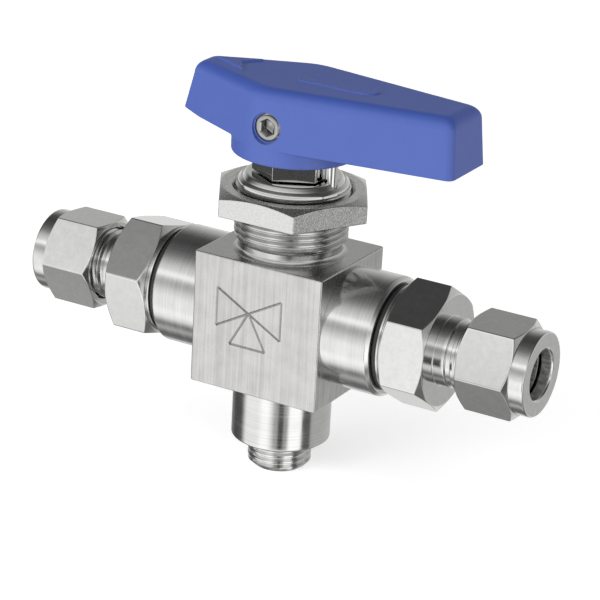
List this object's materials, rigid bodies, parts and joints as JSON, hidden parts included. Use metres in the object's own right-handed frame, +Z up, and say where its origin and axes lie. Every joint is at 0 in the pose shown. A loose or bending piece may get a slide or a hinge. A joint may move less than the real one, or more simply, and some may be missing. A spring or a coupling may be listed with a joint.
{
  "type": "three way ball valve",
  "caption": "Three way ball valve with block body, bottom port, tube compression ends, panel mounting nut and a pointer handle that turns half a turn.",
  "frame": {"origin": "where the axis of the two tube ends meets the stem's axis, at the ball's centre", "axes": "+X along the run towards the right tube end, +Z up the stem to the handle, +Y towards the block's back"},
  "size_m": [0.1112, 0.0286, 0.0814],
  "materials": {
    "machined_steel": "satin machined stainless steel",
    "polished_steel": "bright turned stainless steel",
    "ptfe": "waxy white PTFE",
    "peek": "matt tan PEEK",
    "black_rubber": "satin black fluorocarbon rubber",
    "blue_nylon": "fine grained moulded nylon"
  },
  "bodies": {
    "body": {"valve_body": "machined_steel", "stop_pin": "polished_steel", "right_seat": "ptfe", "left_seat": "ptfe", "stem_thrust_washer": "peek", "lower_gland": "machined_steel", "packing_ring_lower": "ptfe", "packing_ring_middle": "ptfe", "packing_ring_upper": "ptfe", "upper_gland": "machined_steel", "spring_washer_lower": "polished_steel", "spring_washer_upper": "polished_steel", "packing_nut": "polished_steel", "right_connector": "machined_steel", "left_connector": "machined_steel", "right_connector_seal": "black_rubber", "left_connector_seal": "black_rubber"},
    "turning_handle": {"handle": "blue_nylon", "handle_set_screw": "polished_steel", "stem": "machined_steel", "ball": "polished_steel"},
    "clamping_nut": {"panel_nut": "machined_steel"},
    "right_ferrules": {"right_front_ferrule": "polished_steel", "right_back_ferrule": "polished_steel"},
    "right_tube_nut": {"right_nut": "machined_steel"},
    "left_ferrules": {"left_front_ferrule": "polished_steel", "left_back_ferrule": "polished_steel"},
    "left_tube_nut": {"left_nut": "machined_steel"}
  },
  "joints": [
    {"name": "handle_turn", "type": "hinge", "parent": "body", "child": "turning_handle", "pos_m": [0, 0, 0], "axis": [0, 0, 1], "range_deg": [0, 180]},
    {"name": "panel_nut_travel", "type": "slide", "parent": "body", "child": "clamping_nut", "axis": [0, 0, 1], "range_m": [-0.006, 0.002]},
    {"name": "right_nut_back_off", "type": "slide", "parent": "body", "child": "right_ferrules", "axis": [1, 0, 0], "range_m": [0, 0.0045]},
    {"name": "right_nut_turn", "type": "hinge", "parent": "right_ferrules", "child": "right_tube_nut", "pos_m": [0, 0, 0], "axis": [1, 0, 0], "range_deg": [0, 1260]},
    {"name": "left_nut_back_off", "type": "slide", "parent": "body", "child": "left_ferrules", "axis": [-1, 0, 0], "range_m": [0, 0.0045]},
    {"name": "left_nut_turn", "type": "hinge", "parent": "left_ferrules", "child": "left_tube_nut", "pos_m": [0, 0, 0], "axis": [-1, 0, 0], "range_deg": [0, 1260]}
  ],
  "couplings": [
    {"joint": "right_nut_back_off", "follows": "right_nut_turn", "m_per_rad": 0.00020213},
    {"joint": "left_nut_back_off", "follows": "left_nut_turn", "m_per_rad": 0.00020213}
  ]
}
